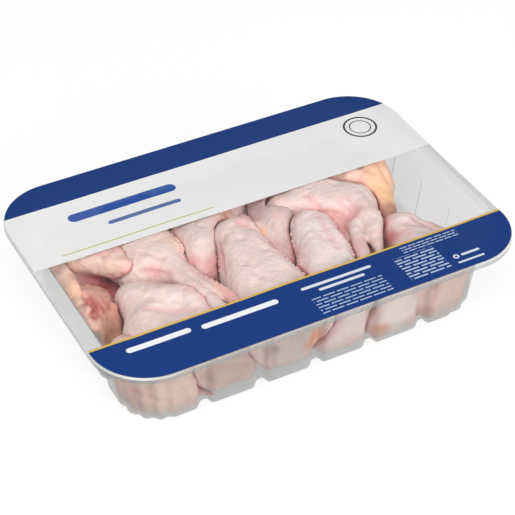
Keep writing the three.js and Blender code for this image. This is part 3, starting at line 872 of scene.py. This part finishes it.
def skin_material():
    n = Nodes("raw_skin")
    # The vertex colours hold the skin's tones and the painted shade in its crevices, gaps and
    # hollows.
    tint = n.add("ShaderNodeVertexColor", layer_name="shade").outputs["Color"]
    speckle = n.noise(900.0, 4.0, 0.6)
    blotch = n.noise(160.0, 5.0, 0.6)
    amount = n.math("MULTIPLY", n.math("SUBTRACT", blotch, 0.45), 0.9)
    colour = n.mix(n.math("MAXIMUM", amount, 0.0), tint, (0.80, 0.46, 0.42, 1))
    n.set(n.shader, "Base Color", colour)
    n.set(n.shader, "Roughness", n.math("ADD", 0.38, n.math("MULTIPLY", speckle, 0.2)))
    n.set(n.shader, "Subsurface Weight", 0.15)
    n.set(n.shader, "Subsurface Radius", (1.0, 0.35, 0.22))
    n.set(n.shader, "Subsurface Scale", 0.002)
    n.set(n.shader, "Specular IOR Level", 0.4)
    n.set(n.shader, "Coat Weight", 0.1)
    n.set(n.shader, "Coat Roughness", 0.25)
    pores = n.add(
        "ShaderNodeTexVoronoi", {"Vector": n.object_position(), "Scale": 420.0}, feature="SMOOTH_F1"
    ).outputs["Distance"]
    normal = n.bump(pores, 0.4, 0.0008)
    normal = n.bump(n.noise(300.0, 4.0, 0.6), 0.5, 0.0015, normal)
    n.set(n.shader, "Normal", normal)
    return n.material


def plastic_material():
    """Clear plastic that turns milky in the flange, most of all at the two ends, and that is paler
    and less clear towards the foot.
    """
    n = Nodes("clear_tray")
    milky = n.add("ShaderNodeVertexColor", layer_name="milk").outputs["Color"]
    split = n.add("ShaderNodeSeparateXYZ", {"Vector": n.object_position()})
    foot = {"Value": split.outputs["Z"], "From Min": 18 * MM, "From Max": 7 * MM}
    toward_foot = n.add("ShaderNodeMapRange", foot, interpolation_type="SMOOTHSTEP").outputs[0]
    grey = n.mix(n.noise(60.0, 3.0), (0.15, 0.16, 0.16, 1), (0.25, 0.26, 0.26, 1))
    grey = n.mix(toward_foot, grey, (0.29, 0.30, 0.30, 1))
    n.set(n.shader, "Base Color", n.mix(milky, grey, (0.63, 0.64, 0.64, 1)))
    n.set(n.shader, "Roughness", 0.22)
    n.set(n.shader, "Specular IOR Level", 0.7)
    clear = n.math("ADD", 0.33, n.math("MULTIPLY", toward_foot, 0.18))
    n.set(n.shader, "Alpha", n.math("ADD", clear, n.math("MULTIPLY", milky, 0.5)))
    n.set(n.shader, "Normal", n.bump(n.noise(45.0, 2.0), 0.12, 0.001))
    return n.material


class Print(Nodes):
    """The film's print: shapes worked out from the place on the film, in millimetres."""

    def __init__(self, name):
        super().__init__(name)
        split = self.add("ShaderNodeSeparateXYZ", {"Vector": self.object_position()})
        self.x = self.math("MULTIPLY", split.outputs["X"], 1000.0)
        self.y = self.math("MULTIPLY", split.outputs["Y"], 1000.0)

    def both(self, a, b):
        return self.math("MULTIPLY", a, b)

    def without(self, a):
        return self.math("SUBTRACT", 1.0, a)

    def between(self, value, low, high):
        return self.both(self.math("GREATER_THAN", value, low), self.math("LESS_THAN", value, high))

    def bar(self, x0, x1, y, half):
        """A bar with round ends along the film."""
        middle, run = (x0 + x1) / 2, (x1 - x0) / 2 - half
        off = self.math("ABSOLUTE", self.math("SUBTRACT", self.x, middle))
        out = self.math("SUBTRACT", off, run)
        out = self.math("MAXIMUM", out, 0.0)
        across = self.math("SUBTRACT", self.y, y)
        d = self.math("SQRT", self.math("ADD", self.both(out, out), self.both(across, across)))
        return self.math("LESS_THAN", d, half)

    def ring(self, x, y, radius, half):
        dx, dy = self.math("SUBTRACT", self.x, x), self.math("SUBTRACT", self.y, y)
        d = self.math("SQRT", self.math("ADD", self.both(dx, dx), self.both(dy, dy)))
        return self.between(d, radius - half, radius + half)

    def lines(self, x0, x1, y0, y1, pitch, share, word):
        """Rows of short plain dashes that fill a rectangle."""
        row = self.math("DIVIDE", self.math("SUBTRACT", self.y, y0), pitch)
        shift = self.math("MULTIPLY", self.math("FLOOR", row), 0.37)
        run = self.math("ADD", self.math("DIVIDE", self.x, word), shift)
        inside = self.both(self.between(self.x, x0, x1), self.between(self.y, y0, y1))
        dashes = self.both(
            self.math("LESS_THAN", self.math("FRACT", row), share),
            self.math("LESS_THAN", self.math("FRACT", run), 0.84),
        )
        return self.both(inside, dashes)


WHITE_INK, GOLD_INK = (0.81, 0.81, 0.81, 1), (0.62, 0.42, 0.07, 1)
BLUE_INK = (0.003, 0.036, 0.185, 1)
BLACK_INK, BRIGHT_INK = (0.03, 0.03, 0.035, 1), (0.80, 0.82, 0.85, 1)
LIGHT_INK, SMALL_INK = (0.66, 0.70, 0.78, 1), (0.42, 0.50, 0.64, 1)


def film_material():
    """Clear film with bands of print across it, and plain bars, dashes and rings on them."""
    n = Print("printed_film")
    back = n.math("GREATER_THAN", n.y, BACK_BAND)
    front = n.math("LESS_THAN", n.y, WINDOW_FRONT - GOLD_WIDTH)
    white = n.between(n.y, WINDOW_BACK, BACK_BAND)
    gold = n.between(n.y, WINDOW_FRONT - GOLD_WIDTH, WINDOW_FRONT)
    blue = n.math("MAXIMUM", back, front)
    clear = n.between(n.y, WINDOW_FRONT, WINDOW_BACK)
    colour = n.mix(blue, WHITE_INK, BLUE_INK)
    colour = n.mix(gold, colour, GOLD_INK)
    marks = [
        (n.bar(-98, -27, 55.5, 3.8), (0.01, 0.075, 0.33, 1)),
        (n.bar(-78, -30, 41.5, 1.7), (0.10, 0.16, 0.36, 1)),
        (n.bar(-115, -16, 25.5, 0.4), (0.50, 0.46, 0.10, 1)),
        (n.ring(105.4, 56.6, 10.4, 0.7), BLACK_INK),
        (n.ring(105.4, 56.6, 6.8, 0.4), BLACK_INK),
        (n.bar(-116, -77, -67, 2.0), BRIGHT_INK),
        (n.bar(-71, -23, -68.5, 2.0), BRIGHT_INK),
        (n.bar(-7, 39, -66.5, 1.1), LIGHT_INK),
        (n.bar(2, 32, -71.3, 1.1), LIGHT_INK),
        (n.lines(-6, 40, -90.5, -75, 2.6, 0.3, 9.0), SMALL_INK),
        (n.lines(62, 100, -66, -60, 2.2, 0.35, 6.0), SMALL_INK),
        (n.lines(53, 80, -89, -68, 2.6, 0.4, 11.0), (0.46, 0.54, 0.68, 1)),
        (n.bar(85, 103, -88.5, 0.7), LIGHT_INK),
        (n.ring(87, -83, 1.4, 0.5), LIGHT_INK),
        (n.bar(90.5, 103, -83, 0.9), LIGHT_INK),
    ]
    for shape, shade in marks:
        colour = n.mix(shape, colour, shade)
    n.set(n.shader, "Base Color", colour)
    hidden = n.math("ADD", 0.995, n.math("MULTIPLY", white, -0.05))
    n.set(n.shader, "Alpha", n.math("SUBTRACT", hidden, n.math("MULTIPLY", clear, 0.96)))
    n.set(n.shader, "Roughness", 0.25)
    n.set(n.shader, "Specular IOR Level", 0.2)
    n.set(n.shader, "Normal", n.bump(n.noise(18.0, 2.0), 0.15, 0.002))
    return n.material


# The tray and film as meshes


def outline(half_x, half_y, corner, relief=0.0, per_side=(150, 100), per_corner=36):
    """A rounded rectangle, anticlockwise from the right end. relief says how deep the ribs and
    flutes cut in, as a share. Returns its points and each one's share of a channel."""
    corner = max(corner, 0.5)
    points, channels = [], []
    for quarter in range(4):
        long_side = quarter % 2 == 1
        run = (half_x if long_side else half_y) - corner
        out = half_y if long_side else half_x
        count = per_side[0] if long_side else per_side[1]
        place = np.linspace(-run, run, count, endpoint=False)
        middles, half = (LONG_RIBS, LONG_HALF) if long_side else (END_RIBS, END_HALF)
        ribs = rib_profile(place, middles, half)
        flat = np.stack([out - ribs * RIB_RELIEF * relief, place], -1)
        angle = np.linspace(0, math.pi / 2, per_corner, endpoint=False)
        r = corner - FLUTE_RELIEF * relief * flute_profile(angle)
        arc = np.stack([out - corner + r * np.cos(angle), run + r * np.sin(angle)], -1)
        side = np.concatenate([flat, arc])
        c, s = [(1, 0), (0, 1), (-1, 0), (0, -1)][quarter]
        x, y = side[:, 0], side[:, 1]
        points.append(np.stack([x * c - y * s, x * s + y * c], -1))
        channels.append(np.concatenate([ribs, np.zeros(per_corner)]))
    return np.concatenate(points), np.concatenate(channels)


LIP_RINGS = 5  # the first rings make the lip, and the next ones the flange's flat top
FLANGE_RINGS = 12
MILKY_FROM, MILKY_TO = 85, 122  # along the tray, where its flange turns milky
SLACK_FROM, SLACK_TO = 13, 30  # in from the film's edge, where it begins to sag
SHEET_DROP = 0.02  # below the solid film's top


def tray_rings():
    """The tray's outlines, from the lip's inner edge over the flange and down to the base."""
    rings = []

    def put(half_x, half_y, corner, z, relief=0.0, rise=0.0):
        points, channels = outline(half_x, half_y, corner, relief)
        height = z + CHANNEL_RISE * rise * channels
        rings.append(np.column_stack([points, height]))

    def flange(inset, z):
        put(LENGTH / 2 - inset, WIDTH / 2 - inset, FLANGE_CORNER - inset, z)

    flange(WALL, HEIGHT - WALL - 0.3)
    flange(WALL, HEIGHT - LIP_DROP)
    flange(0.3, HEIGHT - LIP_DROP)
    flange(0.0, HEIGHT - LIP_DROP + 0.3)
    flange(0.0, HEIGHT - 1.2)
    for t in np.linspace(0, math.pi / 2, 5):
        flange(EDGE_ROUND * (1 - math.cos(t)), HEIGHT - EDGE_ROUND + EDGE_ROUND * math.sin(t))
    flange(6.0, HEIGHT)
    half_x, half_y, corner = section(0)
    for t in np.linspace(0, math.pi / 2, 7):
        inset = NECK_ROUND * (math.sin(t) - 1)
        put(half_x - inset, half_y - inset, corner, HEIGHT - NECK_ROUND * (1 - math.cos(t)))
    for depth in (3, 6, 9, 10.4, 10.8, 11.2, 11.6, 12):
        put(*section(depth), HEIGHT - depth)
    for depth in np.concatenate([np.linspace(12.3, RIB_FULL, 6), np.linspace(17, BODY_DEPTH, 10)]):
        put(*section(depth), HEIGHT - depth, smoothstep(RIB_START, RIB_FULL, depth))
    half_x, half_y, corner = section(BODY_DEPTH)
    for t in np.linspace(0, 1, 6)[1:]:
        inset = FOOT_INSET * t**1.5
        z = FOOT_HEIGHT * (1 - t)
        put(half_x - inset, half_y - inset, corner - inset, z, 1.0, t)
    for t in (0.12, 0.35, 0.65, 1.0):
        inset = FOOT_INSET + (CHANNEL_RUN - FOOT_INSET) * t
        put(half_x - inset, half_y - inset, corner - inset, 0.0, 1 - t, (1 - t) ** 1.5)
    return rings


def ring_faces(count, n, turned=False):
    """Joins rings of n points each, and the last one to a point after them."""
    i = np.arange(n)
    j = (i + 1) % n
    groups = [
        np.stack([k * n + i, k * n + j, (k + 1) * n + j, (k + 1) * n + i], -1)
        for k in range(count - 1)
    ]
    last = (count - 1) * n
    groups.append(np.stack([last + i, last + j, np.full(n, count * n)], -1))
    if turned:
        groups = [np.roll(group[:, ::-1], 1, axis=1) for group in groups]
    return [face for group in groups for face in group.tolist()]


def make_tray():
    rings = tray_rings()
    n = len(rings[0])
    points = np.concatenate(rings + [np.array([[0, 0, 0.0]])])
    faces = ring_faces(len(rings), n, turned=True)
    made = mesh_object("tray_shell", points, faces, plastic_material())
    number = np.arange(len(points)) // n
    top = 0.35 + 0.65 * smoothstep(MILKY_FROM, MILKY_TO, np.abs(points[:, 0]))
    amount = np.where(number < LIP_RINGS, 0.15, np.where(number < FLANGE_RINGS, top, 0.0))
    milk = np.repeat(amount[:, None], 4, axis=1).astype(np.float32)
    layer = made.data.color_attributes.new("milk", "FLOAT_COLOR", "POINT")
    layer.data.foreach_set("color", milk.ravel())
    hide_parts("tray")


def make_film():
    """The film: a fine sheet with a slight slackness over the tray's mouth."""
    rows = []
    for inset in np.concatenate([[0, 0.6, 4, 9, 12], np.linspace(16, 92, 34)]):
        half_x = LENGTH / 2 - FILM_MARGIN - inset
        half_y = WIDTH / 2 - FILM_MARGIN - inset
        if half_y < 0.5:
            break
        points, _ = outline(half_x, half_y, max(FLANGE_CORNER - FILM_MARGIN - inset, 0.5))
        slack = smoothstep(SLACK_FROM, SLACK_TO, inset)
        flat = np.column_stack([points, np.zeros(len(points))])
        sag = slack * (FILM_WAVE * noise(flat, 38.0, 2.2) - FILM_SAG)
        rows.append(np.column_stack([points, FILM_Z - SHEET_DROP + np.minimum(sag, 0.0)]))
    points = np.concatenate(rows + [rows[-1].mean(axis=0)[None]])
    faces = ring_faces(len(rows), len(rows[0]))
    made = mesh_object("film_sheet", points, faces, film_material())
    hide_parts("film")


# Putting it together


def make_wings():
    skin = skin_material()
    names = list(WINGS)
    for k, name in enumerate(names):
        points, quads, field, nearest, low = wing_surface(name, names[:k])
        made = mesh_object(name + "_flesh", points, quads.tolist(), skin)
        colour = skin_colours(name, points, field, nearest, low)
        layer = made.data.color_attributes.new("shade", "FLOAT_COLOR", "POINT")
        rgba = np.column_stack([colour, np.ones(len(points))]).astype(np.float32)
        layer.data.foreach_set("color", rgba.ravel())
        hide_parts(name)


# The photograph's view, worked out from the pack's own edges: degrees and millimetres
VIEW_AZIMUTH, VIEW_ELEVATION = -28.124, 39.32
VIEW_DISTANCE, VIEW_ACROSS, VIEW_UP = 990.871, -0.456, 20.679
FOCAL_PIXELS, IMAGE_PIXELS = 1662.997, 515
SENSOR = 36
KEY_WATTS, FILL_WATTS = 9.3, 9.0
SKY_STRENGTH, FLOOR_GLOW, FLOOR_HALF = 0.42, 0.74, 6.0


def make_camera():
    """Looks at the middle of the flange's plane, with the middle moved across and up."""
    azimuth, elevation = math.radians(VIEW_AZIMUTH), math.radians(VIEW_ELEVATION)
    level = math.cos(elevation)
    back = Vector((math.sin(azimuth) * level, -math.cos(azimuth) * level, math.sin(elevation)))
    right = Vector((math.cos(azimuth), math.sin(azimuth), 0))
    up = back.cross(right)
    place = back * VIEW_DISTANCE - right * VIEW_ACROSS - up * VIEW_UP + Vector((0, 0, HEIGHT))
    camera = bpy.data.objects.new("camera", bpy.data.cameras.new("camera"))
    camera.data.sensor_width = SENSOR
    camera.data.lens = SENSOR * FOCAL_PIXELS / IMAGE_PIXELS
    turn = Matrix((right, up, back)).transposed().to_4x4()
    camera.matrix_world = Matrix.Translation(place * MM) @ turn
    bpy.context.scene.collection.objects.link(camera)
    bpy.context.scene.camera = camera


def area_light(name, place, target, size, power):
    light = bpy.data.lights.new(name, "AREA")
    light.shape = "RECTANGLE"
    light.size, light.size_y = size
    light.energy = power
    made = bpy.data.objects.new(name, light)
    made.location = place
    way = Vector(target) - Vector(place)
    made.rotation_euler = way.to_track_quat("-Z", "Y").to_euler()
    bpy.context.scene.collection.objects.link(made)


def make_studio():
    world = bpy.data.worlds.new("studio")
    world.use_nodes = True
    world.node_tree.nodes["Background"].inputs["Color"].default_value = (1, 1, 1, 1)
    world.node_tree.nodes["Background"].inputs["Strength"].default_value = SKY_STRENGTH
    bpy.context.scene.world = world
    area_light("key", (-0.5, -0.5, 1.0), (0, 0, 0.03), (0.8, 0.8), KEY_WATTS)
    area_light("fill", (0.35, -1.1, 0.45), (0, 0, 0.02), (1.0, 0.5), FILL_WATTS)
    floor = bpy.data.meshes.new("floor")
    half = FLOOR_HALF
    square = [(-half, -half, 0), (half, -half, 0), (half, half, 0), (-half, half, 0)]
    floor.from_pydata(square, [], [(0, 1, 2, 3)])
    made = bpy.data.objects.new("floor", floor)
    n = Nodes("floor_paper")
    n.set(n.shader, "Base Color", (0.3, 0.3, 0.3, 1))
    n.set(n.shader, "Roughness", 0.9)
    n.set(n.shader, "Emission Color", (1, 1, 1, 1))
    n.set(n.shader, "Emission Strength", FLOOR_GLOW)
    floor.materials.append(n.material)
    made.location.z = -0.0002
    bpy.context.scene.collection.objects.link(made)


make_camera()
make_studio()
make_tray()
make_film()
make_wings()
bpy.context.scene.view_settings.view_transform = "Standard"
